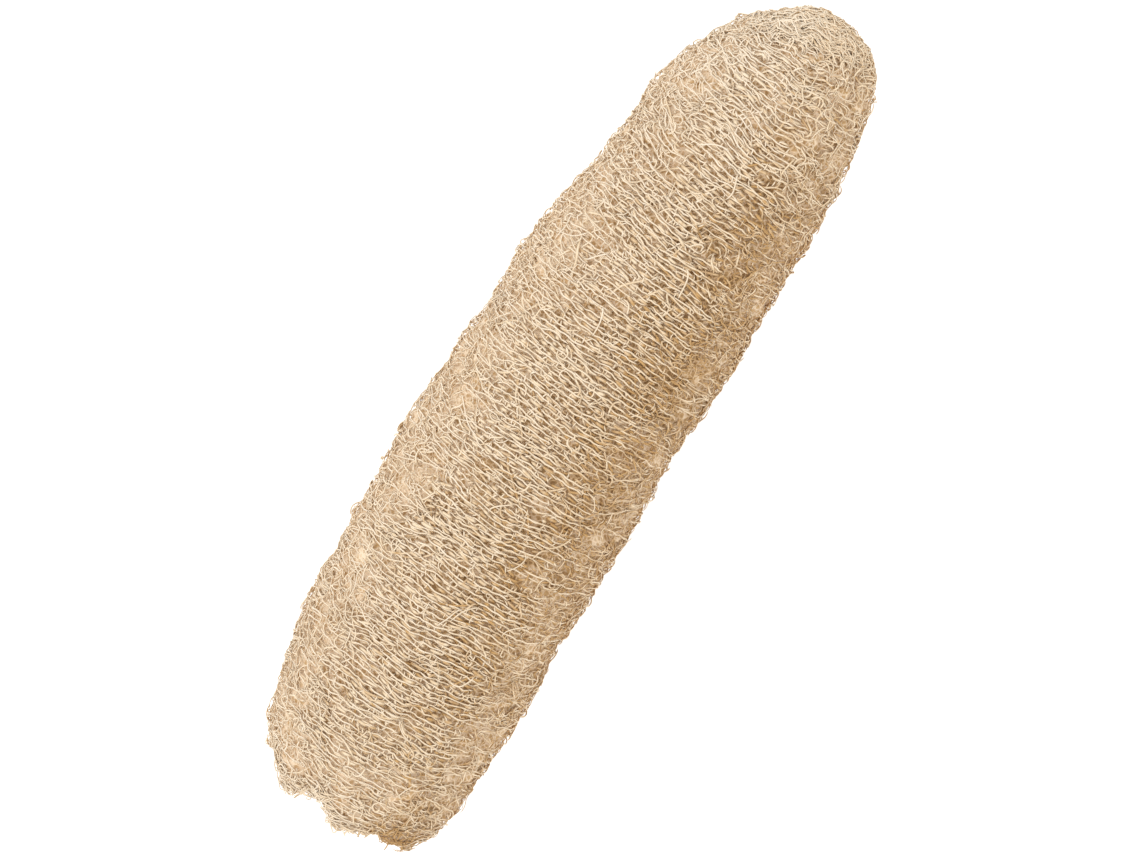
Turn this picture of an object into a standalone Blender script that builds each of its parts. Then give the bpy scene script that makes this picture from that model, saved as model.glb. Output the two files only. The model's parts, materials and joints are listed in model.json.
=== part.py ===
"""Natural loofah sponge: the dried fibre skeleton of a gourd, grown as one piece and lying on its side.

Metres, +Z up. +X runs along the gourd towards the closed, domed stem end. The other end is the torn, open one,
where the seeds were shaken out of three channels that run inside. The surface is a raised net of fibres that run
round the body, larger than life, with pits between them. The origin is at the middle of the underside.
"""

import math

import bmesh
import bpy
import numpy as np
from mathutils import Matrix, Vector, noise

# The gourd's outline, along its axis before it is bent
TIP_X = 0.1602  # the domed end
RIM_X = -0.1535  # the mean line of the torn rim
BARREL_RADIUS = 0.0412  # where the body is thickest
BARREL_X = -0.046
BARREL_FALL = 0.28  # radius lost per metre of distance from BARREL_X, squared
DOME_START_X = 0.090
SHOULDER_START_X = -0.110
DOME_LENGTH = 0.0703  # half the long axis of the ellipse that closes the domed end
SHOULDER_LENGTH = 0.066  # and of the one that narrows the other end to its torn rim

# How it grew: bent, a little flattened, lumpy and faintly ribbed
TIP_BEND = 0.0088  # how far each end lies to one side of the middle
RIM_BEND = 0.0078
RISE = 0.0030  # how far the ends lie above the middle
THICKNESS_SHARE = 0.95  # of height to width, as it lies
LUMP_HEIGHT = 0.0034
LUMP_LENGTH = 0.036
RIBS = 9
RIB_HEIGHT = 0.0005

# The net of fibres, each row of it one crest and one furrow
COLUMNS = 44
FIBRE_ROWS = 58
CREST_HEIGHT = 0.0014
CREST_UNEVEN = 0.0008
FURROW_DEPTH = 0.0024
JOINT_HEIGHT = 0.0011  # where two neighbouring crests meet and close the furrow between them
PITS_ROUND = 11  # in each furrow
PIT_UNEVEN = 0.9  # how much chance opens or closes a pit
PIT_LENGTH = 0.010
SWAY = 0.0011  # how far crests lean apart and together beside the pits
STRAY = 4.0  # how far the pits of neighbouring rows drift from a regular pattern, in radians
STRAY_LENGTH = 0.030
WANDER = 0.0052  # how far a fibre strays from a plain ring
WANDER_LENGTH = 0.024
FADE_ROWS = 5  # over which the lumps and the wandering die out at each end

# The torn, open end
TEETH = 7
TOOTH_LENGTH = 0.0042
EVEN_TEETH = 0.50  # share of a tooth's length that all teeth have alike
WIDE_TEAR = 0.40  # share that comes and goes three times round
LOPSIDED_TEAR = 0.25  # share that comes and goes once round
TOOTH_ANGLE = math.radians(100)  # the longest tooth, from +Y towards +Z
TEAR_PHASE = 0.8
TEAR_ROWS = 3  # over which the teeth fade into the body
LIP_RADIUS = 0.0265
LIP_DEPTH = 0.0008
MOUTH_DEPTH = 0.0060
FLOOR_RADII = (0.0, 0.0075, 0.0150, 0.0225)
FLOOR_UNEVEN = 0.0016
FLOOR_UNEVEN_LENGTH = 0.009

# The seed channels, straight and blind, which open at the torn end
CHANNELS = 3
CHANNEL_RADIUS = 0.0075
CHANNEL_SIDES = 12
CHANNEL_RING = 0.0140  # the channels' distance from the line that they run round
CHANNEL_LINE = (-0.0045, 0.0010)  # that line's Y and Z, in the middle of the bent body's
CHANNEL_START_X = -0.170
CHANNEL_END_X = 0.095

# The underside is pressed flat where it lies, most of all on a spot under its weight
REST_DEPTH = 0.0020
REST_LENGTH = 0.110
REST_WIDTH = 0.020

SEED = 11
FIBRE_COLOUR = (0.604, 0.440, 0.272, 1.0)
FIBRE_ROUGHNESS = 0.82


def clear_scene():
    for old in list(bpy.data.objects):
        bpy.data.objects.remove(old)


def fibre_material():
    material = bpy.data.materials.new("dried_gourd_fibre")
    material.use_nodes = True
    shader = material.node_tree.nodes["Principled BSDF"]
    shader.inputs["Base Color"].default_value = FIBRE_COLOUR
    shader.inputs["Roughness"].default_value = FIBRE_ROUGHNESS
    shader.inputs["Metallic"].default_value = 0.0
    return material


def body_radius(x):
    """The outline's radius at x, with the barrel carried into an ellipse at each end."""
    held = min(max(x, SHOULDER_START_X), DOME_START_X)
    barrel = BARREL_RADIUS - BARREL_FALL * (held - BARREL_X) ** 2
    past = (x - held) / (DOME_LENGTH if x > held else SHOULDER_LENGTH)
    return barrel * math.sqrt(max(0.0, 1.0 - past * past))


def mouth_rings():
    """Rings (x, radius) from the middle of the mouth's floor out to its lip."""
    floor = [(RIM_X + MOUTH_DEPTH, radius) for radius in FLOOR_RADII]
    return [*floor, (RIM_X + LIP_DEPTH, LIP_RADIUS)]


def outline_rings():
    """Rings (x, radius) from the rim to the tip, evenly spaced along the outline, two for each row of the net."""
    turns = np.linspace(0.0, math.pi / 2, 400)
    fine_x = RIM_X + (TIP_X - RIM_X) * np.sin(turns)
    fine_radius = np.array([body_radius(x) for x in fine_x])
    fine_radius[-1] = 0.0
    steps = np.hypot(np.diff(fine_x), np.diff(fine_radius))
    along = np.concatenate([[0.0], np.cumsum(steps)])
    stations = np.linspace(0.0, along[-1], 2 * FIBRE_ROWS + 1)
    return list(zip(np.interp(stations, along, fine_x), np.interp(stations, along, fine_radius)))


def soft_noise(point, length, pattern):
    """Smooth noise from -1 to 1 that varies over length. Each pattern number gives another noise."""
    shift = Vector((pattern * 17.3 + SEED, pattern * 5.9, pattern * 11.1))
    return noise.noise(point / length + shift)


def tooth(angle):
    """How far the torn rim reaches out at this angle, as a share of a tooth's length."""
    turned = angle - TOOTH_ANGLE
    even = EVEN_TEETH * math.cos(TEETH * turned)
    wide = WIDE_TEAR * math.cos(3 * turned + TEAR_PHASE)
    return even + wide + LOPSIDED_TEAR * math.cos(turned)


def bent(point):
    """Where the straight gourd's point lies once the body is flattened, bent and raised at the ends."""
    share = (point.x / TIP_X) ** 2
    bend = TIP_BEND if point.x > 0.0 else RIM_BEND
    return Vector((point.x, point.y - bend * share, point.z * THICKNESS_SHARE + RISE * share))


def net_shape(row, point, angle):
    """The net's height above the body and its shift along it: crests on even rows, pits and joints on odd ones."""
    side = 1 if (row // 2) % 2 == 0 else -1
    drift = STRAY * soft_noise(point, STRAY_LENGTH, 4)
    wave = side * math.cos(PITS_ROUND * angle + drift)
    chance = soft_noise(point, PIT_LENGTH, 5)
    if row % 2 == 0:
        return CREST_HEIGHT + CREST_UNEVEN * chance, -SWAY * wave
    open_share = min(1.0, max(0.0, 0.5 + 0.5 * wave + PIT_UNEVEN * chance))
    return JOINT_HEIGHT - (JOINT_HEIGHT + FURROW_DEPTH) * open_share, 0.0


def body_point(rings, index, first_row, angle):
    """The point at this angle on an outline ring, with the body's lumps, its net and its torn rim."""
    last = len(rings) - 1
    row = index - first_row
    before, after = rings[index - 1], rings[min(index + 1, last)]
    if row == 0:
        before = rings[index]
    run = Vector((after[0] - before[0], after[1] - before[1])).normalized()
    if index == last:
        run = Vector((0.0, -1.0))
    outward = Vector((0.0, math.cos(angle), math.sin(angle)))
    normal = Vector((-run.y, 0.0, 0.0)) + outward * run.x
    onward = Vector((run.x, 0.0, 0.0)) + outward * run.y
    point = Vector((rings[index][0], 0.0, 0.0)) + outward * rings[index][1]
    fade = min(1.0, row / FADE_ROWS, (last - index) / FADE_ROWS)
    lumps = LUMP_HEIGHT * soft_noise(point, LUMP_LENGTH, 1) + RIB_HEIGHT * math.cos(RIBS * angle)
    height, sway = net_shape(row, point, angle)
    wander = WANDER * soft_noise(point, WANDER_LENGTH, 2)
    torn = TOOTH_LENGTH * tooth(angle) * max(0.0, 1.0 - row / TEAR_ROWS)
    return point + normal * (lumps * fade + height) + onward * (wander + sway) * fade - Vector((torn, 0.0, 0.0))


def mouth_point(rings, index, first_row, angle):
    """The point at this angle on one of the mouth's rings, on its uneven floor or its torn lip."""
    x, radius = rings[index]
    point = Vector((x, radius * math.cos(angle), radius * math.sin(angle)))
    if index == first_row - 1:
        point.x -= TOOTH_LENGTH * tooth(angle)
    point.x += FLOOR_UNEVEN * soft_noise(point, FLOOR_UNEVEN_LENGTH, 3)
    return point


def gourd_form():
    """The whole skin: rings of points from the middle of the mouth to the tip, joined by faces."""
    first = mouth_rings()
    rings = [*first, *outline_rings()]
    form = bmesh.new()
    loops = []
    for index, (_, radius) in enumerate(rings):
        shape = mouth_point if index < len(first) else body_point
        count = COLUMNS if radius > 0.0 else 1
        turns = [2 * math.pi * (column + index % 2 / 2) / COLUMNS for column in range(count)]
        loops.append([form.verts.new(bent(shape(rings, index, len(first), angle))) for angle in turns])
    for inner, outer in zip(loops, loops[1:]):
        for column in range(COLUMNS):
            corners = []
            for loop, step in ((inner, 0), (inner, 1), (outer, 1), (outer, 0)):
                corner = loop[(column + step) % len(loop)]
                if corner not in corners:
                    corners.append(corner)
            form.faces.new(corners)
    return form


def lay_down(form):
    """Presses the underside flat, centres the form over the origin, and returns the shift."""
    points = np.array([vert.co for vert in form.verts])
    low, high = points.min(axis=0), points.max(axis=0)
    shift = Vector((-(low[0] + high[0]) / 2, -(low[1] + high[1]) / 2, -(low[2] + REST_DEPTH)))
    for vert in form.verts:
        vert.co += shift
        under = vert.co.z < BARREL_RADIUS / 2
        on_spot = under and abs(vert.co.x) < REST_LENGTH / 2 and abs(vert.co.y) < REST_WIDTH / 2
        if on_spot or vert.co.z < 0.0:
            vert.co.z = 0.0
    return shift


def skin_mesh(form):
    bmesh.ops.recalc_face_normals(form, faces=form.faces)
    bmesh.ops.triangulate(form, faces=form.faces, quad_method="SHORT_EDGE")
    mesh = bpy.data.meshes.new("fibre_sponge")
    form.to_mesh(mesh)
    form.free()
    return mesh


def channel_cutter(number, shift):
    """The straight rod that cuts one seed channel."""
    form = bmesh.new()
    length = CHANNEL_END_X - CHANNEL_START_X
    bmesh.ops.create_cone(
        form,
        cap_ends=True,
        segments=CHANNEL_SIDES,
        radius1=CHANNEL_RADIUS,
        radius2=CHANNEL_RADIUS,
        depth=length,
        matrix=Matrix.Rotation(math.pi / 2, 4, "Y"),
    )
    mesh = bpy.data.meshes.new(f"seed_channel_{number}")
    form.to_mesh(mesh)
    form.free()
    angle = math.pi / 2 + 2 * math.pi * number / CHANNELS
    y = CHANNEL_LINE[0] + CHANNEL_RING * math.cos(angle)
    z = CHANNEL_LINE[1] + CHANNEL_RING * math.sin(angle)
    cutter = bpy.data.objects.new(mesh.name, mesh)
    cutter.location = Vector((CHANNEL_START_X + length / 2, y, z)) + shift
    cutter.hide_render = True
    cutter.display_type = "WIRE"
    return cutter


def main():
    clear_scene()
    parts = bpy.data.collections.new("natural_loofah_sponge")
    cutters = bpy.data.collections.new("cutters")
    for collection in (parts, cutters):
        bpy.context.scene.collection.children.link(collection)
    form = gourd_form()
    shift = lay_down(form)
    mesh = skin_mesh(form)
    mesh.materials.append(fibre_material())
    sponge = bpy.data.objects.new("fibre_sponge", mesh)
    parts.objects.link(sponge)
    for number in range(CHANNELS):
        cutters.objects.link(channel_cutter(number, shift))
    cut = sponge.modifiers.new("seed_channels", "BOOLEAN")
    cut.operation = "DIFFERENCE"
    cut.operand_type = "COLLECTION"
    cut.collection = cutters
    cut.solver = "EXACT"


main()
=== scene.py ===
# Natural loofah sponge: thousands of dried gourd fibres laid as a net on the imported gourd's own form.
# Metres, +Z up. The gourd lies along X, its domed stem end at +X and its torn, open end at -X.
# A place on its skin is u, metres along it from just before the torn rim, and v, the turn from +Y over +Z.

import json
import math

import bmesh
import bpy
import numpy as np
from mathutils import Matrix, Vector
from mathutils.bvhtree import BVHTree

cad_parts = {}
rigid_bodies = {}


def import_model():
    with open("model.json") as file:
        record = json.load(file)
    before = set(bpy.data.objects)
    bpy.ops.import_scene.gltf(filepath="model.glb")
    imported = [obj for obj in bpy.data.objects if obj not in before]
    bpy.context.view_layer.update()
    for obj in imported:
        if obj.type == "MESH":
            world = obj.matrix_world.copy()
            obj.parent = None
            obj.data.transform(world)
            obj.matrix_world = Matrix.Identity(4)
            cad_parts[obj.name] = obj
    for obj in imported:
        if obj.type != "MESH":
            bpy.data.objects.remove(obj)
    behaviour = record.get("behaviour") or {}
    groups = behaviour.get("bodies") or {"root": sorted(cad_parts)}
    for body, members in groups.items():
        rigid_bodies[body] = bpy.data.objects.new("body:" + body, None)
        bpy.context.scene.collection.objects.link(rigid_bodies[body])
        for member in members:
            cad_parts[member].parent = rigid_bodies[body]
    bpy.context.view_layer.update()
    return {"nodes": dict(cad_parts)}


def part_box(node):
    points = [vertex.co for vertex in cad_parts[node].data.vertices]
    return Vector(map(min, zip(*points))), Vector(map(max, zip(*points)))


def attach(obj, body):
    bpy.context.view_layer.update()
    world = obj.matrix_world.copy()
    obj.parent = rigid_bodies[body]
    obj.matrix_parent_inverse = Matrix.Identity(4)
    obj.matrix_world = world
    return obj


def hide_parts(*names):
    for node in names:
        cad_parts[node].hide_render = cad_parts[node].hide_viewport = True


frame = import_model()

mm = 0.001
fullTurn = 2 * math.pi
meanRadius = 40 * mm  # of the gourd, for patterns that run round it
nodeName = "fibre_sponge"


# The gourd's form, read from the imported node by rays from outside

form = {
    "station": 1.5 * mm,  # spacing of the readings along the gourd
    "turns": 132,  # readings round it
    "slices": 24,  # the gourd's bend is found from these
    "sliceHalf": 6 * mm,
    "sliceInset": 22 * mm,  # of the first and the last of them from the ends
    "smooth": 3.0 * mm,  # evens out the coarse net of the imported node, and keeps its lumps
    "smoothRound": 1.2,  # the same round the gourd, in readings
    "lead": 6 * mm,  # how far the form is carried on past the torn rim, for loose ends
    "leadTaper": 0.6,  # how much its radius loses there for each metre along
    "domeLength": 60 * mm,  # from the tip; the rays fan out from here over the dome
    "fanLength": 1.25,  # of the way over the dome, in dome lengths
    "reach": 90 * mm,  # the rays start this far out
    "leastRadius": 24 * mm,  # rays that come further in have gone through the mouth
    "tears": (  # of the rim: turn and half width in degrees, and depth, which is negative for a tongue
        (40, 5, -2.4 * mm),
        (48, 4, -2.2 * mm),
        (56, 6, -2.6 * mm),
        (68, 5, 2.4 * mm),
        (81, 7, 3.4 * mm),
        (99, 4, -1.0 * mm),
        (108, 6, 1.6 * mm),
        (138, 11, -4.0 * mm),
        (160, 9, -3.6 * mm),
        (215, 8, 2.0 * mm),
        (290, 7, -1.8 * mm),
    ),
    "lumps": (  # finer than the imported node's, as the tears are: X, turn in degrees, half width and height
        (3 * mm, 4, 8 * mm, 2.4 * mm),
        (-68 * mm, 4, 7 * mm, 1.8 * mm),
        (-57 * mm, 176, 9 * mm, 1.8 * mm),
        (143 * mm, 0, 8 * mm, 2.2 * mm),
        (147 * mm, 0, 6 * mm, -1.2 * mm),
        (156.5 * mm, 0, 7 * mm, 1.4 * mm),
        (146 * mm, 180, 11 * mm, 2.6 * mm),
        (107 * mm, 180, 14 * mm, 1.0 * mm),
        (-128 * mm, 180, 13 * mm, -2.4 * mm),
        (98 * mm, 0, 10 * mm, -1.4 * mm),
    ),
}


def blurred(grid, sigma, axis, wraps):
    reach = max(1, int(3 * sigma))
    weights = np.exp(-0.5 * (np.arange(-reach, reach + 1) / sigma) ** 2)
    weights /= weights.sum()
    pad = [(0, 0)] * grid.ndim
    pad[axis] = (reach, reach)
    padded = np.pad(grid, pad, mode="wrap" if wraps else "edge")
    shifts = (np.arange(k, k + grid.shape[axis]) for k in range(len(weights)))
    return sum(weight * np.take(padded, shift, axis) for weight, shift in zip(weights, shifts))


def unit(vectors):
    return vectors / np.maximum(np.linalg.norm(vectors, axis=-1, keepdims=True), 1e-12)


def bendOf(node, low, high):
    # the gourd's axis: Y and Z as parabolas of X, through the middles of its slices
    points = np.array([vertex.co for vertex in node.data.vertices])
    slices = np.linspace(low[0] + form["sliceInset"], high[0] - form["sliceInset"], form["slices"])
    near = [points[abs(points[:, 0] - x) < form["sliceHalf"]] for x in slices]
    return [np.polyfit(slices, [(s[:, k].min() + s[:, k].max()) / 2 for s in near], 2) for k in (1, 2)]


def castRays(node, stations, turns, origins):
    # each ray's direction out from the axis, and how far out along it the skin lies
    tree = BVHTree.FromObject(node, bpy.context.evaluated_depsgraph_get())
    rays = np.zeros((len(stations), len(turns), 3))
    radii = np.full((len(stations), len(turns)), np.nan)
    for i, (_, fanned) in enumerate(stations):
        for j, turn in enumerate(turns):
            outward = math.cos(fanned)
            ray = Vector((math.sin(fanned), outward * math.cos(turn), outward * math.sin(turn)))
            rays[i, j] = ray
            start = Vector(origins[i]) + ray * form["reach"]
            hit, _, _, distance = tree.ray_cast(start, -ray, form["reach"])
            if hit is not None and form["reach"] - distance > form["leastRadius"]:
                radii[i, j] = form["reach"] - distance
    return rays, radii


def readForm(node):
    low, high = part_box(nodeName)
    axisY, axisZ = bendOf(node, low, high)
    domeX = high[0] - form["domeLength"]
    straight = [(x, 0.0) for x in np.arange(low[0] - form["lead"], domeX, form["station"])]
    fanCount = int(form["fanLength"] * form["domeLength"] / form["station"])
    stations = straight + [(domeX, fanned) for fanned in np.linspace(0.0, math.pi / 2, fanCount + 1)]
    turns = np.arange(form["turns"]) * fullTurn / form["turns"]
    origins = np.array([(x, np.polyval(axisY, x), np.polyval(axisZ, x)) for x, _ in stations])
    rays, radii = castRays(node, stations, turns, origins)

    rim = np.argmax(np.isfinite(radii), axis=0)  # the first station with material, for each turn
    for j, first in enumerate(rim):
        taper = form["leadTaper"] * form["station"] * np.arange(first, 0, -1)
        radii[:first, j] = radii[first, j] - taper
    radii = blurred(radii, form["smooth"] / form["station"], 0, False)
    radii = blurred(radii, form["smoothRound"], 1, True)
    for x, turn, width, height in form["lumps"]:
        surface = origins[:, None, :] + rays * radii[:, :, None]
        j = round(turn / 360 * form["turns"])
        i = np.argmin(abs(surface[:, j, 0] - x))
        far = np.linalg.norm(surface - surface[i, j], axis=2)
        radii += height * np.exp(-((far / width) ** 2))
    radii[-1] = radii[-1].mean()

    surface = origins[:, None, :] + rays * radii[:, :, None]
    beside = np.roll(surface, -1, axis=1)
    lengths = np.linalg.norm(np.diff(surface, axis=0), axis=2).mean(axis=1)
    along = np.concatenate([[0.0], np.cumsum(lengths)])
    ring = np.linalg.norm(beside - surface, axis=2).sum(axis=1) / fullTurn
    normal = np.cross(np.gradient(surface, axis=0), beside - np.roll(surface, 1, axis=1))
    middle = len(stations) // 2
    normal *= np.sign((normal[middle] * rays[middle]).sum())
    normal[-1] = (1.0, 0.0, 0.0)
    edge = np.interp(rim, np.arange(len(along)), along)
    for turn, width, depth in form["tears"]:
        edge = edge + depth * np.exp(-(((np.degrees(turns) - turn) / width) ** 2))
    return {"surface": surface, "normal": unit(normal), "along": along, "ring": ring, "rim": edge}


def onForm(u, v, height):
    # points and normals at u and v, that far above the skin
    rows = np.interp(u, gourd["along"], np.arange(len(gourd["along"])))
    i = np.clip(rows.astype(int), 0, len(gourd["along"]) - 2)
    fi = (rows - i)[..., None]
    columns = (v / fullTurn * form["turns"]) % form["turns"]
    j = columns.astype(int) % form["turns"]
    fj = (columns - np.floor(columns))[..., None]
    k = (j + 1) % form["turns"]

    def blend(grid):
        lower = grid[i, j] * (1 - fj) + grid[i, k] * fj
        upper = grid[i + 1, j] * (1 - fj) + grid[i + 1, k] * fj
        return lower * (1 - fi) + upper * fi

    normal = unit(blend(gourd["normal"]))
    return blend(gourd["surface"]) + normal * height[..., None], normal


def rimAt(v):
    # u of the torn rim
    turns = np.arange(form["turns"] + 1) * fullTurn / form["turns"]
    return np.interp(v % fullTurn, turns, [*gourd["rim"], gourd["rim"][0]])


def ringAt(u):
    # the gourd's radius, and never under 2 mm, or steps round the tip would be endless turns
    return np.maximum(np.interp(u, gourd["along"], gourd["ring"]), 2 * mm)


gourd = readForm(frame["nodes"][nodeName])
gourdLength = gourd["along"][-1]
print(f"form read: {gourdLength / mm:.0f} mm from the rim over the tip")


# Chance that changes smoothly

def waves(draw, length, count=10):
    # over the skin: a sum of waves of about that length, from about -1 to 1
    size = fullTurn / length
    spread = (0.6, 1.4)
    tilt = draw.uniform(0, math.pi, count)
    alongs = size * np.cos(tilt) * draw.uniform(*spread, count)
    rounds = np.round(size * np.sin(tilt) * meanRadius * draw.uniform(*spread, count))
    phases = draw.uniform(0, fullTurn, count)

    def value(u, v):
        total = sum(np.cos(a * u + r * v + p) for a, r, p in zip(alongs, rounds, phases))
        return total * 0.9 / math.sqrt(count)

    return value


def chance(draw, count, points, over):
    # along each strand, about 1 in size, and evened out over that many points
    evened = blurred(draw.normal(0, 1, (count, points)), over, 1, False)
    return evened * math.sqrt(2 * math.sqrt(math.pi) * over)


skin = np.random.default_rng(41)
grain = waves(skin, 34 * mm)  # the fibres' common wandering
whorls = waves(skin, 13 * mm, 14)
bumps = waves(skin, 9 * mm, 16)  # the skin's common rise and fall
thinSpots = waves(skin, 24 * mm)  # where the inner fibres are missing
unrest = waves(skin, 45 * mm)
knots = waves(skin, 3 * mm, 16)  # paler and darker places along each fibre


# What changes over the skin: how pale and dark the fibres are, partly painted light and shade, and how well
# they keep to their rows

tintAndPaintedLight = {
    "dome": 0.25,  # how much paler than the middle: painted light
    "domeFrom": (95 * mm, 35 * mm),  # from nothing to all of it, before the tip
    "tornEnd": 0.16,
    "tornEndFrom": (45 * mm, 15 * mm),
    "side": 0.17,  # painted light and shade: paler towards +Y, where the key lamp stands, and as much darker towards -Y
    # painted shade: a darker patch on the flank away from the key lamp
    "paintedShadeFlank": -0.28,
    "flankPlace": (200 * mm, 2.35),  # u and turn
    "flankReach": (130 * mm, 0.6),
    "flankOverDome": 0.6,  # share of the dome's paleness that the flank takes away
    "stainedLobe": -0.8,
    "lobePlace": (4 * mm, 2.4),  # from the rim, and turn
    "lobeReach": (8 * mm, 0.33),
}

netOrder = {
    "plainest": 1.5,  # the turn at which the rows are plainest, on top, and again half a turn on
    "halfway": 0.57,  # the squared cosine of the turn from there at which they are half lost
    "sharpness": 2.2,
    "unrest": 0.45,
    "dome": 0.15,  # how much is lost near the tip
    "domeFrom": (80 * mm, 35 * mm),
    "tornEnd": 0.65,
    "tornEndFrom": (58 * mm, 23 * mm),
    "thinFrom": 0.75,  # of the waves of thin spots
}


def between(low, high, share):
    return low + (high - low) * share


def rising(u, start, end):
    # 0 as far as start, and 1 from end on
    return np.clip((u - start) / (end - start), 0, 1)


def nearDome(u, span):
    return rising(u, gourdLength - span[0], gourdLength - span[1])


def spot(u, turn, place, reach):
    # 1 at its middle, with a soft edge
    return np.exp(-(((u - place[0]) / reach[0]) ** 2) - ((turn - place[1]) / reach[1]) ** 2)


# paler and darker places over the skin: painted light on the dome and towards +Y, painted shade towards -Y
# and on a flank, paler towards the torn end, and a stain by the rim
def tintAndPaintedLightAt(u, v):
    turn = v % fullTurn
    flank = spot(u, turn, tintAndPaintedLight["flankPlace"], tintAndPaintedLight["flankReach"])
    lobe = spot(u - rimAt(v), turn, tintAndPaintedLight["lobePlace"], tintAndPaintedLight["lobeReach"])
    dome = nearDome(u, tintAndPaintedLight["domeFrom"]) * (1 - tintAndPaintedLight["flankOverDome"] * flank)
    return (
        tintAndPaintedLight["dome"] * dome
        + tintAndPaintedLight["tornEnd"] * rising(u, *tintAndPaintedLight["tornEndFrom"])
        + tintAndPaintedLight["side"] * np.cos(v)
        + tintAndPaintedLight["paintedShadeFlank"] * flank
        + tintAndPaintedLight["stainedLobe"] * lobe
    )


def order(u, v):
    # 1 where the fibres keep to their rows, as on top, and 0 where they curl every way, as on the flanks
    facing = np.cos(v - netOrder["plainest"]) ** 2
    rows = 0.5 + netOrder["sharpness"] * (facing - netOrder["halfway"]) + netOrder["unrest"] * unrest(u, v)
    rows = rows - netOrder["dome"] * nearDome(u, netOrder["domeFrom"])
    return np.clip(rows - netOrder["tornEnd"] * rising(u, *netOrder["tornEndFrom"]), 0, 1)


def kept(draw, u, v, ordered, wild, thin=1.0):
    # which strands stay: these shares of them, by the order of the place and whether the net is thin there
    middle = u.shape[1] // 2
    u, v = u[:, middle], v[:, middle]
    share = between(wild, ordered, order(u, v)) * np.where(thinSpots(u, v) < netOrder["thinFrom"], 1.0, thin)
    return draw.uniform(0, 1, len(u)) < share


# Fibres as tubes: strands of equal length make a block of points, normals, radii and tones

fibres = {
    "sides": 3,  # smooth shading rounds them, as thin as they are
    "flatness": 0.75,  # of height to width, as fibres that have dried
    "paintedShadeBelow": 0.5,  # how much darker the undersides are: painted shade
    "knots": 0.15,  # how much paler and darker the fibres are along their length
    "bumps": 0.6 * mm,  # how high the skin rises and falls
    "slenderEnds": 0.4,  # of a strand's own radius
    "rimShare": 0.25,  # strands with more than this of them past the rim are dropped
    "rimGap": 0.4 * mm,  # and what is left of the others is drawn back inside it by this
    "restShare": 0.9,  # of its radius that a strand keeps above what the gourd lies on
}


def fibreMesh(name, blocks):
    vertices, faces, tones = [], [], []
    base, sides = 0, fibres["sides"]
    around = np.arange(sides) * fullTurn / sides + math.pi / 6
    for points, normals, radii, tone in blocks:
        count, length = points.shape[:2]
        ahead = unit(np.gradient(points, axis=1))
        side = unit(np.cross(ahead, normals))
        up = np.cross(side, ahead)
        across = side[:, :, None] * np.cos(around)[:, None]
        ring = across + up[:, :, None] * np.sin(around)[:, None] * fibres["flatness"]
        vertices.append((points[:, :, None] + ring * radii[:, :, None, None]).reshape(-1, 3))
        tones.append((tone[:, :, None] + fibres["paintedShadeBelow"] * np.minimum(np.sin(around), 0)).ravel())
        first = base + np.arange(count)[:, None, None] * length * sides
        i = first + np.arange(length - 1)[:, None] * sides
        j = np.arange(sides)
        n = (j + 1) % sides
        faces += np.stack([i + j, i + n, i + sides + n, i + sides + j], axis=-1).reshape(-1, 4).tolist()
        faces += (first[:, 0] + j[::-1]).tolist()
        faces += (first[:, 0] + (length - 1) * sides + j).tolist()
        base += count * length * sides
    vertices = np.concatenate(vertices)
    vertices[:, 2] = np.maximum(vertices[:, 2], 0.0)
    mesh = bpy.data.meshes.new(name)
    mesh.from_pydata(vertices.tolist(), [], faces)
    mesh.polygons.foreach_set("use_smooth", np.ones(len(mesh.polygons), dtype=bool))
    addPiece(name, mesh, np.concatenate(tones), fibreMaterial)


def addPiece(name, mesh, tones, material):
    mesh.attributes.new("tone", "FLOAT", "POINT").data.foreach_set("value", tones.astype(np.float32))
    mesh.update()
    mesh.materials.append(material)
    piece = bpy.data.objects.new(name, mesh)
    bpy.context.scene.collection.objects.link(piece)
    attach(piece, "root")
    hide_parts(nodeName)
    print(f"{name}: {sum(len(p.vertices) - 2 for p in mesh.polygons)} triangles")


def laid(u, v, height, radius, tone, past=0.0):
    # one block on the form, whose strands may stand out past the torn rim by that much
    inside = (u < rimAt(v) - past).mean(axis=1) < fibres["rimShare"]
    u, v, height, radius, tone = u[inside], v[inside], height[inside], radius[inside], tone[inside]
    u = np.maximum(u, rimAt(v) - past + fibres["rimGap"])
    points, normals = onForm(u, v, height + fibres["bumps"] * bumps(u, v))
    points[:, :, 2] = np.maximum(points[:, :, 2], radius[:, None] * fibres["restShare"])
    radii = np.repeat(radius[:, None], u.shape[1], axis=1)
    radii[:, [0, -1]] *= fibres["slenderEnds"]
    return points, normals, radii, tone[:, None] + tintAndPaintedLightAt(u, v) + fibres["knots"] * knots(u, v)


def unevenHeight(draw, count, points, kit):
    ends = np.minimum(np.arange(points), np.arange(points)[::-1]) * kit["step"]
    uneven = kit["uneven"] * chance(draw, count, points, kit["unevenOver"])
    return kit["lift"] + uneven - kit["dive"] * np.exp(-ends / kit["diveLength"])


# Dried gourd fibre: cellulose and lignin, bleached by sun and water. Matt, straw to cream.
# Its IOR is cellulose's, about 1.5, which the shader has already.

def linear(hexColour):
    # from sRGB, with an alpha of 1
    channels = [int(hexColour[i:i + 2], 16) / 255 for i in (1, 3, 5)]
    return (*[c / 12.92 if c <= 0.04045 else ((c + 0.055) / 1.055) ** 2.4 for c in channels], 1.0)


def addNode(tree, kind, settings=None, links=None):
    node = tree.nodes.new(kind)
    for key, value in (settings or {}).items():
        if isinstance(key, int) or key in node.inputs:
            node.inputs[key].default_value = value
        else:
            setattr(node, key, value)
    for key, source in (links or {}).items():
        tree.links.new(source, node.inputs[key])
    return node


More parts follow.
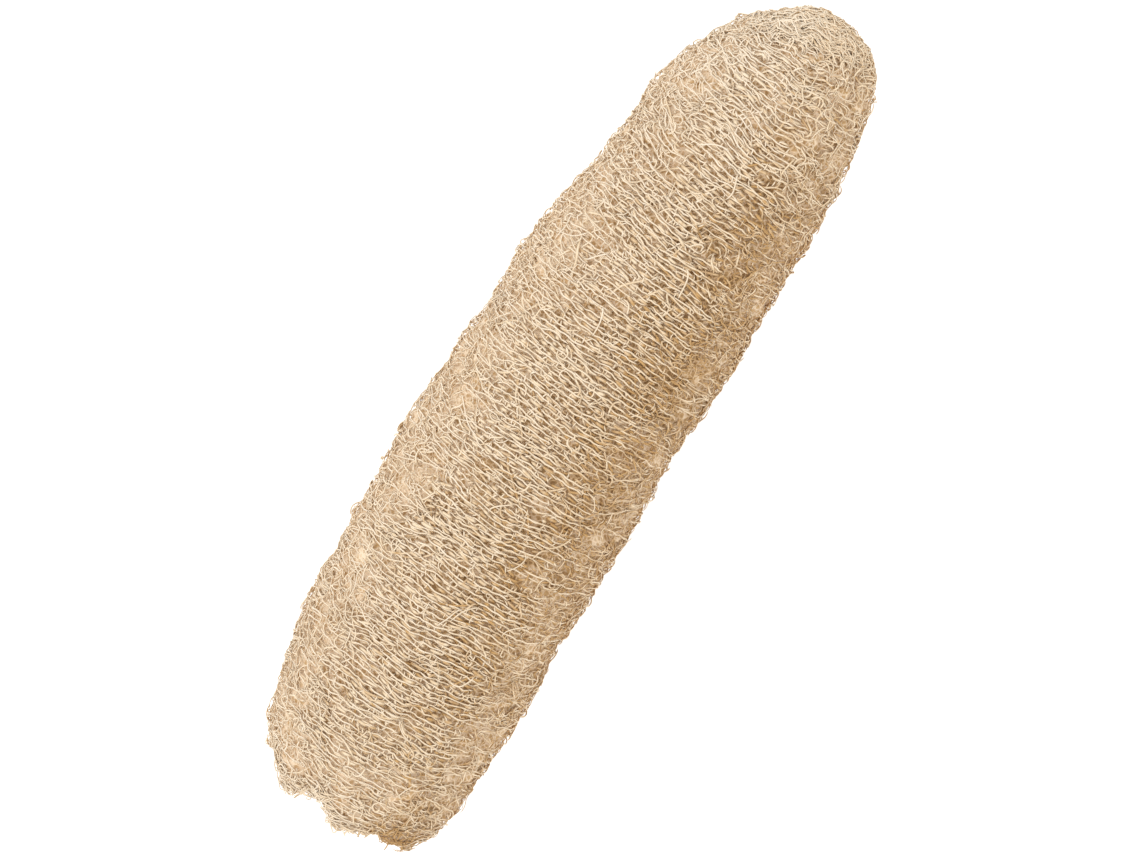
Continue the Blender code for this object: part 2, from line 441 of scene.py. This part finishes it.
fibreLook = {
    "dark": "#C19963",  # a stained or sappy fibre
    "mid": "#E8D1B0",
    "light": "#F0DFC7",  # a bleached one
    "midAt": 0.4,  # the tone of the middle colour
    "patchSize": 14 * mm,
    "patchDetail": 3.0,
    "patchStrength": 0.5,
    "roughness": 0.8,
}


def driedFibre(name, look):
    material = bpy.data.materials.new(name)
    material.use_nodes = True
    tree = material.node_tree
    shader = tree.nodes["Principled BSDF"]
    place = addNode(tree, "ShaderNodeTexCoord")
    patches = addNode(
        tree,
        "ShaderNodeTexNoise",
        {"Scale": 1 / look["patchSize"], "Detail": look["patchDetail"]},
        {"Vector": place.outputs["Object"]},
    )
    tone = addNode(tree, "ShaderNodeAttribute", {"attribute_name": "tone"})
    lifted = addNode(tree, "ShaderNodeMath", {"operation": "SUBTRACT", 1: 0.5}, {0: patches.outputs["Fac"]})
    mixed = addNode(
        tree,
        "ShaderNodeMath",
        {"operation": "MULTIPLY_ADD", 1: look["patchStrength"]},
        {0: lifted.outputs[0], 2: tone.outputs["Fac"]},
    )
    if "netSize" in look:
        net = addNode(
            tree,
            "ShaderNodeTexVoronoi",
            {"feature": "DISTANCE_TO_EDGE", "Scale": 1 / look["netSize"]},
            {"Vector": place.outputs["Object"]},
        )
        lines = addNode(
            tree,
            "ShaderNodeMapRange",
            {"From Max": look["netWidth"], "To Min": look["netStrength"], "To Max": 0.0},
            {"Value": net.outputs["Distance"]},
        )
        mixed = addNode(
            tree,
            "ShaderNodeMath",
            {"operation": "ADD"},
            {0: mixed.outputs[0], 1: lines.outputs[0]},
        )
    ramp = addNode(tree, "ShaderNodeValToRGB", links={"Fac": mixed.outputs[0]})
    ramp.color_ramp.elements[0].color = linear(look["dark"])
    ramp.color_ramp.elements[1].color = linear(look["light"])
    ramp.color_ramp.elements.new(look["midAt"]).color = linear(look["mid"])
    tree.links.new(ramp.outputs["Color"], shader.inputs["Base Color"])
    shader.inputs["Roughness"].default_value = look["roughness"]
    return material


fibreMaterial = driedFibre("sun_bleached_gourd_fibre", fibreLook)


# The net's rows round the gourd, and the shorter, duller strands that half fill the valleys between them

ringFibres = {
    "spacing": 1.82 * mm,  # of the rows, which are about 2 mm apart on real ones
    "offset": 0.0,  # of the rows, in spacings
    "step": 1.4 * mm,
    "points": (6, 9, 13, 18),  # the strands' lengths, in steps
    "overlap": (1.0 * mm, 4.0 * mm),  # of a strand and the next in its row
    "askew": 1.4,  # degrees that a strand may lie askew to its row
    "curledAskew": 8,  # times that where all is curled
    "mostAskew": 1.2,  # radians
    "radius": (0.25 * mm, 0.34 * mm),
    "slender": 0.9,  # share of that where all is curled
    "tone": (0.53, 0.8),
    "lift": 0.5 * mm,
    "uneven": 0.25 * mm,
    "unevenOver": 2.5,  # steps
    "wander": 0.6 * mm,
    "whorl": 0.16 * mm,
    "stray": 0.15 * mm,
    "strayOver": 1.3,
    "lean": -0.14,  # towards the domed end, where the rows run askew
    "leanFrom": (0.35, 0.85),  # from nothing to all of it, in shares of the gourd's length
    "sway": 0.2 * mm,  # how far neighbours lean apart beside a hole
    "swayLength": 5.6 * mm,  # two holes' length
    "drift": 22 * mm,  # length of the waves that shift the holes along their rows
    "driftTurn": 3.0,  # radians
    "dive": 0.9 * mm,  # how deep the strands' ends go in
    "diveLength": 1.2 * mm,
    "tipGap": 7 * mm,  # the rows end this far from the tip
    "shares": (1.0, 0.6, 1.0),  # of the strands that stay: in order, in curled places, and over thin spots
    "seed": 3,
}

valleyFibres = {
    **ringFibres,
    "offset": 0.5,
    "step": 1.0 * mm,
    "points": (3, 4, 5, 6),
    "overlap": (-2.1 * mm, -0.9 * mm),  # these gaps are the net's dark slots
    "askew": 3.5,
    "radius": (0.48 * mm, 0.66 * mm),
    "slender": 0.5,
    # darker than the rows above them: painted shade
    "tone": (0.2, 0.44),
    "lift": 0.12 * mm,
    "sway": 0.0,
    "dive": 0.35 * mm,
    "shares": (1.0, 0.8, 0.5),
    "seed": 5,
}


def rowStarts(draw, kit):
    # where strands begin, one after the other round each row, by their number of points
    starts = {points: [] for points in kit["points"]}
    rows = np.arange(kit["offset"] * kit["spacing"], gourdLength - kit["tipGap"], kit["spacing"])
    for number, at in enumerate(rows):
        side = number % 2 * 2 - 1
        turn = draw.uniform(0, fullTurn)
        goal = turn + fullTurn
        while turn < goal:
            points = int(draw.choice(kit["points"]))
            starts[points].append((at, turn, side))
            turn += ((points - 1) * kit["step"] - draw.uniform(*kit["overlap"])) / ringAt(at)
    return starts


def ringBlocks(kit):
    draw = np.random.default_rng(kit["seed"])
    drift = waves(draw, kit["drift"])
    blocks = []
    for points, begun in rowStarts(draw, kit).items():
        at, turn, side = np.array(begun).T[:, :, None]
        count = len(at)
        centred = (np.arange(points) - points / 2) * kit["step"]
        v = turn + np.arange(points) * kit["step"] / ringAt(at)
        askew = np.radians(kit["askew"]) * draw.normal(0, 1, (count, 1))
        askew = askew * between(kit["curledAskew"], 1, order(at, turn))
        u = at + np.tan(np.clip(askew, -kit["mostAskew"], kit["mostAskew"])) * centred
        u = u + kit["wander"] * grain(at, v) + kit["whorl"] * whorls(at, v)
        u = u + kit["stray"] * chance(draw, count, points, kit["strayOver"])
        u = u + kit["lean"] * rising(at / gourdLength, *kit["leanFrom"]) * centred
        holes = fullTurn / kit["swayLength"] * v * meanRadius + kit["driftTurn"] * drift(at, v)
        u = u + side * kit["sway"] * np.sin(holes)
        height = unevenHeight(draw, count, points, kit)
        keep = kept(draw, u, v, *kit["shares"])
        radius = draw.uniform(*kit["radius"], count) * between(kit["slender"], 1, order(at, turn)[:, 0])
        tone = draw.uniform(*kit["tone"], count)
        blocks.append(laid(u[keep], v[keep], height[keep], radius[keep], tone[keep]))
    return blocks


fibreMesh("outer_ring_fibres", ringBlocks(ringFibres))
fibreMesh("valley_fibres", ringBlocks(valleyFibres))


# Fibres off the rows: links across the valleys, felt where the net is curled, and a tangle below all of them

linkFibres = {
    "count": 9500,
    "tipGap": 14 * mm,
    "points": 4,
    "step": 0.85 * mm,
    "slope": (50, 85),  # degrees from the rows' direction
    "turning": 0.3,  # radians
    "turningOver": 2.5,  # steps
    "lift": 0.48 * mm,
    "uneven": 0.2 * mm,
    "unevenOver": 2.0,
    "dive": 0.5 * mm,
    "diveLength": 0.8 * mm,
    "radius": (0.22 * mm, 0.31 * mm),
    "tone": (0.48, 0.8),
    "shares": (1.0, 0.25, 0.7),
    "seed": 17,
}

feltFibres = {
    **linkFibres,
    "count": 7400,
    "points": 8,
    "step": 1.0 * mm,
    "slope": (0, 180),
    "turning": 1.0,
    "lift": 0.5 * mm,
    "uneven": 0.35 * mm,
    "radius": (0.22 * mm, 0.38 * mm),
    "tone": (0.35, 0.65),
    "shares": (0.1, 1.0, 0.8),
    "seed": 18,
}

tangleFibres = {
    **linkFibres,
    "count": 1600,
    "points": 11,
    "step": 2.0 * mm,
    "slope": (5, 60),
    "lift": -0.6 * mm,
    "uneven": 0.4 * mm,
    "radius": (0.34 * mm, 0.50 * mm),
    # darker than the fibres above them: painted shade
    "tone": (0.1, 0.4),
    "shares": (1.0, 0.1, 0.5),
    "seed": 19,
}


def walk(draw, u, v, heading, kit):
    # strands that set out from u, v and keep about that heading from the ring's direction
    turning = kit["turning"] * chance(draw, len(u), kit["points"], kit["turningOver"])
    headings = heading[:, None] + turning
    us, vs = [u], [v]
    for k in range(1, kit["points"]):
        us.append(us[-1] + kit["step"] * np.sin(headings[:, k]))
        vs.append(vs[-1] + kit["step"] * np.cos(headings[:, k]) / ringAt(us[-1]))
    return np.array(us).T, np.array(vs).T


def strewn(draw, kit):
    # strands that set out all over the skin but for the tip, sloping to either side of the rows
    count = kit["count"]
    u, v = draw.uniform(0, gourdLength - kit["tipGap"], count), draw.uniform(0, fullTurn, count)
    heading = np.radians(draw.uniform(*kit["slope"], count)) * draw.choice([-1, 1], count)
    return walk(draw, u, v, heading, kit)


def crossBlocks(kit):
    draw = np.random.default_rng(kit["seed"])
    count, points = kit["count"], kit["points"]
    u, v = strewn(draw, kit)
    height = unevenHeight(draw, count, points, kit)
    keep = kept(draw, u, v, *kit["shares"])
    radius = draw.uniform(*kit["radius"], count)
    tone = draw.uniform(*kit["tone"], count)
    return [laid(u[keep], v[keep], height[keep], radius[keep], tone[keep])]


fibreMesh("link_fibres", crossBlocks(linkFibres))
fibreMesh("felt_fibres", crossBlocks(feltFibres))
fibreMesh("tangle_fibres", crossBlocks(tangleFibres))


# Loose fibres on top: curls that make the outline fuzzy, and a few long, bleached strays

looseFibres = {
    "curls": {
        "count": 5000,
        "shares": (0.12, 1.0),  # of them that stay, in order and in curled places
        "tipGap": 12 * mm,
        "points": 8,
        "step": 0.75 * mm,
        "slope": (0, 180),
        "turning": 1.3,
        "turningOver": 2.5,
        "lift": 0.3 * mm,
        "rise": (0.2 * mm, 0.8 * mm),
        "radius": (0.14 * mm, 0.24 * mm),
        "tone": (0.3, 0.6),
    },
    "strays": {
        "count": 70,
        "tipGap": 40 * mm,
        "points": 9,
        "step": 1.3 * mm,
        "slope": (25, 90),
        "turning": 0.45,
        "turningOver": 3.0,
        "lift": 1.1 * mm,
        "uneven": 0.25 * mm,
        "unevenOver": 2.0,
        "radius": (0.22 * mm, 0.32 * mm),
        "tone": (0.6, 0.9),
    },
    "seed": 23,
}


def curlBlock(draw, kit):
    u, v = strewn(draw, kit)
    keep = kept(draw, u, v, *kit["shares"])
    u, v, count = u[keep], v[keep], keep.sum()
    arch = np.sin(np.linspace(0, math.pi, kit["points"]))
    height = kit["lift"] + draw.uniform(*kit["rise"], (count, 1)) * arch
    radius = draw.uniform(*kit["radius"], count)
    return laid(u, v, height, radius, draw.uniform(*kit["tone"], count))


def strayBlock(draw, kit):
    u, v = strewn(draw, kit)
    height = kit["lift"] + kit["uneven"] * chance(draw, kit["count"], kit["points"], kit["unevenOver"])
    radius = draw.uniform(*kit["radius"], kit["count"])
    return laid(u, v, height, radius, draw.uniform(*kit["tone"], kit["count"]))


def looseBlocks(kit):
    draw = np.random.default_rng(kit["seed"])
    return [curlBlock(draw, kit["curls"]), strayBlock(draw, kit["strays"])]


fibreMesh("loose_fibres", looseBlocks(looseFibres))


# The domed end: fibres that cross over the tip, where no row can run round

tipFibres = {
    "layers": ((330, 0.6 * mm), (280, 0.2 * mm), (220, -0.4 * mm)),  # count and height
    "points": 9,
    "step": 1.7 * mm,
    "reach": 23 * mm,  # of the strands' middles from the tip
    "spread": 14,  # degrees from straight across
    "turning": 0.3,
    "turningOver": 2.5,
    "uneven": 0.35 * mm,
    "unevenOver": 2.0,
    "dive": 1.4 * mm,
    "diveLength": 1.5 * mm,
    "radius": (0.25 * mm, 0.38 * mm),
    "tone": (0.4, 0.75),
    "seed": 29,
}


def tipBlocks(kit):
    draw = np.random.default_rng(kit["seed"])
    points = kit["points"]
    steps = (np.arange(points) - points / 2) * kit["step"]
    blocks = []
    for count, lift in kit["layers"]:
        far, turn = kit["reach"] * np.sqrt(draw.uniform(0, 1, count)), draw.uniform(0, fullTurn, count)
        heading = np.radians(kit["spread"]) * draw.normal(0, 1, count)[:, None]
        heading = heading + kit["turning"] * chance(draw, count, points, kit["turningOver"])
        p = (far * np.cos(turn))[:, None] + steps * np.cos(heading)
        q = (far * np.sin(turn))[:, None] + steps * np.sin(heading)
        u, v = gourdLength - np.hypot(p, q), np.arctan2(q, p)
        height = unevenHeight(draw, count, points, {**kit, "lift": lift})
        radius = draw.uniform(*kit["radius"], count)
        blocks.append(laid(u, v, height, radius, draw.uniform(*kit["tone"], count)))
    return blocks


fibreMesh("tip_fibres", tipBlocks(tipFibres))


# The torn end: its mouth, the three seed channels that open there, and the ragged rim

mouth = {
    "depth": 6 * mm,
    "floorShare": 0.74,  # of the rim's radius; the wall rises from here
    "lipShare": 0.92,  # and it reaches the lip here
    "lipInset": 0.6 * mm,
    "channels": (  # their Y and Z
        (-3.51 * mm, 53.89 * mm),
        (-15.63 * mm, 32.89 * mm),
        (8.62 * mm, 32.89 * mm),
    ),
    "channelRadius": 7.5 * mm,
    "channelEnd": 93 * mm,
    "floorFibres": {
        "count": 1100,
        "points": 9,
        "step": 1.5 * mm,
        "reach": 29 * mm,
        "turning": 0.7,
        "turningOver": 2.5,
        "depth": (-1.4 * mm, 1.2 * mm),
        "uneven": 0.5 * mm,
        "unevenOver": 2.0,
        "overhang": 0.8 * mm,  # how far they may reach out over a channel
        "mostShare": 0.98,  # of the rim's radius
        "radius": (0.22 * mm, 0.38 * mm),
        "tone": (0.1, 0.9),
    },
    "liningFibres": {
        "count": 420,
        "points": 9,
        "step": 1.5 * mm,
        "span": (-1 * mm, 45 * mm),  # from the floor in, as far as can be seen
        "outermost": -0.8 * mm,
        "turning": 0.5,
        "turningOver": 2.5,
        "proud": 0.9 * mm,  # of the channels' walls
        "radius": 0.28 * mm,
        "tone": (0.1, 0.8),
    },
    "rimFibres": {
        "count": 1100,
        "points": 7,
        "step": 0.8 * mm,
        "start": (0.5 * mm, 5 * mm),  # inside the rim
        "fan": 0.9,  # radians to either side of straight out
        "turning": 1.1,
        "turningOver": 2.5,
        "height": (-2.6 * mm, 0.9 * mm),
        "uneven": 0.4 * mm,
        "unevenOver": 2.0,
        "past": 1.0 * mm,
        "radius": (0.24 * mm, 0.40 * mm),
        "tone": (0.3, 0.8),
    },
    "seed": 31,
}

rimTurns = np.arange(form["turns"]) * fullTurn / form["turns"]
rimPoints, _ = onForm(gourd["rim"], rimTurns, np.zeros(form["turns"]))
mouthCentre = rimPoints.mean(axis=0)
mouthFloorX = mouthCentre[0] + mouth["depth"]
rimAngles = np.arctan2(rimPoints[:, 2] - mouthCentre[2], rimPoints[:, 1] - mouthCentre[1])


def inMouth(p, q, depth):
    # points over the mouth's floor and up its wall, p and q to the side of and above its middle
    angle = np.arctan2(q, p)
    byAngle = np.argsort(rimAngles)
    rimReach = np.hypot(*(rimPoints[byAngle, 1:] - mouthCentre[1:]).T)
    reach = np.interp(angle, rimAngles[byAngle], rimReach, period=fullTurn)
    edge = np.interp(angle, rimAngles[byAngle], rimPoints[byAngle, 0], period=fullTurn)
    share = np.hypot(p, q) / reach
    wall = rising(share, mouth["floorShare"], mouth["lipShare"])
    wall = wall * wall * (3 - 2 * wall)  # it curves into the floor and out to the lip
    x = mouthFloorX + (edge + mouth["lipInset"] - mouthFloorX) * wall + depth
    return np.stack([x, mouthCentre[1] + p, mouthCentre[2] + q], axis=-1), share


def roaming(draw, kit):
    # headings that start anywhere and keep turning: steps to the side and steps ahead, added up
    start = draw.uniform(0, fullTurn, kit["count"])[:, None]
    heading = start + kit["turning"] * chance(draw, kit["count"], kit["points"], kit["turningOver"])
    return np.cumsum(np.cos(heading), axis=1) * kit["step"], np.cumsum(np.sin(heading), axis=1) * kit["step"]


def floorBlock(draw, kit):
    count, points = kit["count"], kit["points"]
    far, turn = kit["reach"] * np.sqrt(draw.uniform(0, 1, count)), draw.uniform(0, fullTurn, count)
    across, ahead = roaming(draw, kit)
    p = (far * np.cos(turn))[:, None] + across
    q = (far * np.sin(turn))[:, None] + ahead
    depth = draw.uniform(*kit["depth"], (count, 1))
    depth = depth + kit["uneven"] * chance(draw, count, points, kit["unevenOver"])
    floor, share = inMouth(p, q, depth)
    y, z = floor[:, :, 1], floor[:, :, 2]
    fromAxes = [np.hypot(y - axisY, z - axisZ).min(axis=1) for axisY, axisZ in mouth["channels"]]
    clear = np.min(fromAxes, axis=0) > mouth["channelRadius"] - kit["overhang"]
    floor = floor[clear & (share.max(axis=1) < kit["mostShare"])]
    facing = np.zeros_like(floor)
    facing[:, :, 0] = -1
    radii = draw.uniform(*kit["radius"], len(floor))[:, None].repeat(points, axis=1)
    return floor, facing, radii, draw.uniform(*kit["tone"], (len(floor), 1)).repeat(points, axis=1)


def liningBlock(draw, kit):
    count, points = kit["count"], kit["points"]
    middle = np.array(mouth["channels"])[draw.integers(0, len(mouth["channels"]), count)]
    across, ahead = roaming(draw, kit)
    inward = draw.uniform(*kit["span"], count)[:, None] + ahead
    turn = draw.uniform(0, fullTurn, count)[:, None] + across / mouth["channelRadius"]
    reach = mouth["channelRadius"] - draw.uniform(0.0, kit["proud"], count)[:, None]
    outward = np.stack([np.zeros_like(turn), np.cos(turn), np.sin(turn)], axis=-1)
    centre = np.concatenate([np.zeros((count, 1)), middle], axis=1)[:, None, :]
    walls = centre + outward * reach[:, :, None]
    walls[:, :, 0] = mouthFloorX + np.maximum(inward, kit["outermost"])
    radii = np.full((count, points), kit["radius"])
    return walls, -outward, radii, draw.uniform(*kit["tone"], (count, 1)).repeat(points, axis=1)


def rimBlock(draw, kit):
    count = kit["count"]
    v = draw.uniform(0, fullTurn, count)
    heading = -math.pi / 2 + draw.normal(0, kit["fan"], count)
    u, v = walk(draw, rimAt(v) + draw.uniform(*kit["start"], count), v, heading, kit)
    height = draw.uniform(*kit["height"], (count, 1))
    height = height + kit["uneven"] * chance(draw, count, kit["points"], kit["unevenOver"])
    radius = draw.uniform(*kit["radius"], count)
    return laid(u, v, height, radius, draw.uniform(*kit["tone"], count), kit["past"])


def mouthBlocks(kit):
    draw = np.random.default_rng(kit["seed"])
    floor = floorBlock(draw, kit["floorFibres"])
    lining = liningBlock(draw, kit["liningFibres"])
    return [floor, lining, rimBlock(draw, kit["rimFibres"])]


fibreMesh("torn_end_fibres", mouthBlocks(mouth))


# The sponge's inside, which closes the view between the fibres

innerSponge = {
    "inset": (0.6 * mm, 2.2 * mm),  # where the fibres curl, and where they keep to their rows
    "shallowEnds": 0.7,  # share of the difference that is lost at both ends
    "rows": 150,
    "uneven": 0.5 * mm,
    "rimInset": 0.8 * mm,
    "restInset": 0.8 * mm,
    "mouthInset": 1.2 * mm,
    "mouthShares": (0.0, 0.2, 0.4, 0.6, 0.78, 0.92),  # of the lip's radius, where its rows lie
    "drillSides": 20,
    "drillOut": 12 * mm,  # how far the drills stand out past the mouth
    "tone": (0.48, 0.24),  # where the fibres curl and let more light in, and where they keep to their rows
    "shade": 0.15,  # how much the tone changes from place to place
    "tintAndPaintedLightShare": 0.5,  # share of the skin's paler and darker places, painted light and shade among them, given here too
    "look": {
        **fibreLook,
        # darker than the outer fibres' colours: painted shade of the deeper fibres
        "dark": "#8A683E",
        "mid": "#BA9769",
        "light": "#E4CEB1",
        "patchSize": 2.5 * mm,
        "patchStrength": 0.8,
        "netSize": 1.8 * mm,  # deeper fibres, drawn as the edges of cells
        "netWidth": 0.22,  # of a cell
        "netStrength": 0.6,
    },
    "seed": 37,
}


def orderInside(kit, u, v):
    ends = kit["shallowEnds"]
    torn = rising(u, *netOrder["tornEndFrom"])
    return order(u, v) * (1 - ends * nearDome(u, netOrder["domeFrom"]) - ends * torn)


def innerGrid(draw, kit):
    # rings of points: from the mouth's middle to its lip, and then along the outside to the tip
    turns = rimTurns[::2]
    start = rimAt(turns) + kit["rimInset"]
    u = start + (gourdLength - start) * np.linspace(0, 1, kit["rows"])[:, None]
    v = np.broadcast_to(turns, u.shape)
    inset = between(*kit["inset"], orderInside(kit, u, v))
    outside, _ = onForm(u, v, -inset + kit["uneven"] * draw.normal(0, 1, u.shape))
    outside[:, :, 2] = np.maximum(outside[:, :, 2], kit["restInset"])
    lip = outside[0] - mouthCentre
    shares = np.array(kit["mouthShares"])[:, None]
    p, q = shares * lip[:, 1], shares * lip[:, 2]
    inside, _ = inMouth(p, q, np.full(p.shape, kit["mouthInset"]))
    return np.concatenate([inside, outside])


def closedMesh(name, grid):
    # the first ring is one point, and the last one lies along the tip's own axis
    body = bmesh.new()
    loops = [[body.verts.new(co) for co in row] for row in (grid[0, :1], *grid[1:])]
    for inner, outer in zip(loops, loops[1:]):
        for k in range(grid.shape[1]):
            corners = [inner[k % len(inner)], inner[(k + 1) % len(inner)]]
            corners += [outer[(k + 1) % len(outer)], outer[k % len(outer)]]
            body.faces.new(list(dict.fromkeys(corners)))
    bmesh.ops.recalc_face_normals(body, faces=body.faces)
    mesh = bpy.data.meshes.new(name)
    body.to_mesh(mesh)
    body.free()
    return mesh


def drilled(kit, mesh):
    # the same inside with the three seed channels cut in from the mouth
    drills = bpy.data.collections.new("seed_channels")
    length = mouth["channelEnd"] - mouthCentre[0] + kit["drillOut"]
    for y, z in mouth["channels"]:
        bpy.ops.mesh.primitive_cylinder_add(
            vertices=kit["drillSides"],
            radius=mouth["channelRadius"],
            depth=length,
            location=(mouth["channelEnd"] - length / 2, y, z),
            rotation=(0, math.pi / 2, 0),
        )
        drills.objects.link(bpy.context.object)
    whole = bpy.data.objects.new("whole_inside", mesh)
    bpy.context.scene.collection.objects.link(whole)
    cut = whole.modifiers.new("channels", "BOOLEAN")
    cut.operand_type = "COLLECTION"
    cut.collection = drills
    cut.solver = "EXACT"
    opened = bpy.data.meshes.new_from_object(whole.evaluated_get(bpy.context.evaluated_depsgraph_get()))
    for spent in [whole, *drills.objects]:
        bpy.data.objects.remove(spent)
    bpy.data.collections.remove(drills)
    opened.materials.clear()
    return opened


def innerBody(kit):
    draw = np.random.default_rng(kit["seed"])
    opened = drilled(kit, closedMesh("sponge_inside", innerGrid(draw, kit)))
    places = np.array([vertex.co for vertex in opened.vertices])
    u = places[:, 0] - mouthCentre[0]
    v = np.arctan2(places[:, 2] - mouthCentre[2], places[:, 1] - mouthCentre[1])
    tones = between(*kit["tone"], orderInside(kit, u, v)) + kit["shade"] * draw.normal(0, 1, len(places))
    tones += kit["tintAndPaintedLightShare"] * tintAndPaintedLightAt(u, v)
    addPiece("sponge_inside", opened, tones, driedFibre("gourd_fibre_in_shade", kit["look"]))


innerBody(innerSponge)


# Floor, light and camera

studio = {
    "target": (0, 0, 0.04),  # the gourd's middle
    "floor": "#FAFAF9",
    "floorSize": 6,
    "floorRoughness": 0.9,
    "floorGlow": 0.3,  # the paper is lit from below as well, so the shadow stays faint
    "world": 0.95,
    "keyPlace": (-0.3, 1.3, 1.3),
    "keySize": 1.8,
    "keyPower": 3.0,
    "keyColour": "#F8FAFF",
    "overheadPlace": (0.0, 0.1, 1.7),
    "overheadSize": 2.0,
    "overheadPower": 15.0,
    "overheadColour": "#FFFFFF",
    "elevation": 79.0,  # the camera looks down on the gourd from its domed end's side
    "roll": 57.8,  # the gourd's axis in the photograph, above the horizontal
    "lens": 85.0,
    "distance": 0.914,
    "aim": (2.1 * mm, -5.3 * mm),  # of the picture's middle from the gourd's, to the right and up in it
}


def makeFloor():
    bpy.ops.mesh.primitive_plane_add(size=studio["floorSize"], location=(0, 0, 0))
    floor = bpy.context.object
    floor.name = "floor"
    material = bpy.data.materials.new("matt_white_paper")
    material.use_nodes = True
    shader = material.node_tree.nodes["Principled BSDF"]
    shader.inputs["Base Color"].default_value = linear(studio["floor"])
    shader.inputs["Roughness"].default_value = studio["floorRoughness"]
    shader.inputs["Emission Color"].default_value = linear(studio["floor"])
    shader.inputs["Emission Strength"].default_value = studio["floorGlow"]
    floor.data.materials.append(material)


def addLamp(name):
    light = bpy.data.lights.new(name, "AREA")
    light.shape = "DISK"
    light.size = studio[name + "Size"]
    light.energy = studio[name + "Power"]
    light.color = linear(studio[name + "Colour"])[:3]
    lamp = bpy.data.objects.new(name, light)
    lamp.location = studio[name + "Place"]
    lamp.rotation_euler = (Vector(studio["target"]) - lamp.location).to_track_quat("-Z", "Y").to_euler()
    bpy.context.scene.collection.objects.link(lamp)


def makeLights():
    world = bpy.data.worlds.new("soft_studio")
    bpy.context.scene.world = world
    world.use_nodes = True
    world.node_tree.nodes["Background"].inputs["Color"].default_value = (1, 1, 1, 1)
    world.node_tree.nodes["Background"].inputs["Strength"].default_value = studio["world"]
    addLamp("key")
    addLamp("overhead")


def makeCamera():
    camera = bpy.data.objects.new("camera", bpy.data.cameras.new("camera"))
    bpy.context.scene.collection.objects.link(camera)
    bpy.context.scene.camera = camera
    camera.data.lens = studio["lens"]
    elevation = math.radians(studio["elevation"])
    back = Vector((math.cos(elevation), 0, math.sin(elevation)))
    up = Vector((math.sin(elevation), 0, -math.cos(elevation)))  # the gourd's +X as the camera sees it
    side = up.cross(back)
    turn = math.radians(90 - studio["roll"])
    imageUp = up * math.cos(turn) - side * math.sin(turn)
    imageSide = up * math.sin(turn) + side * math.cos(turn)
    place = Vector(studio["target"]) + back * studio["distance"]
    place = place + imageSide * studio["aim"][0] + imageUp * studio["aim"][1]
    camera.matrix_world = Matrix.Translation(place) @ Matrix((imageSide, imageUp, back)).transposed().to_4x4()


makeFloor()
makeLights()
makeCamera()
bpy.context.scene.view_settings.view_transform = "Standard"
print("floor, lights and camera placed")
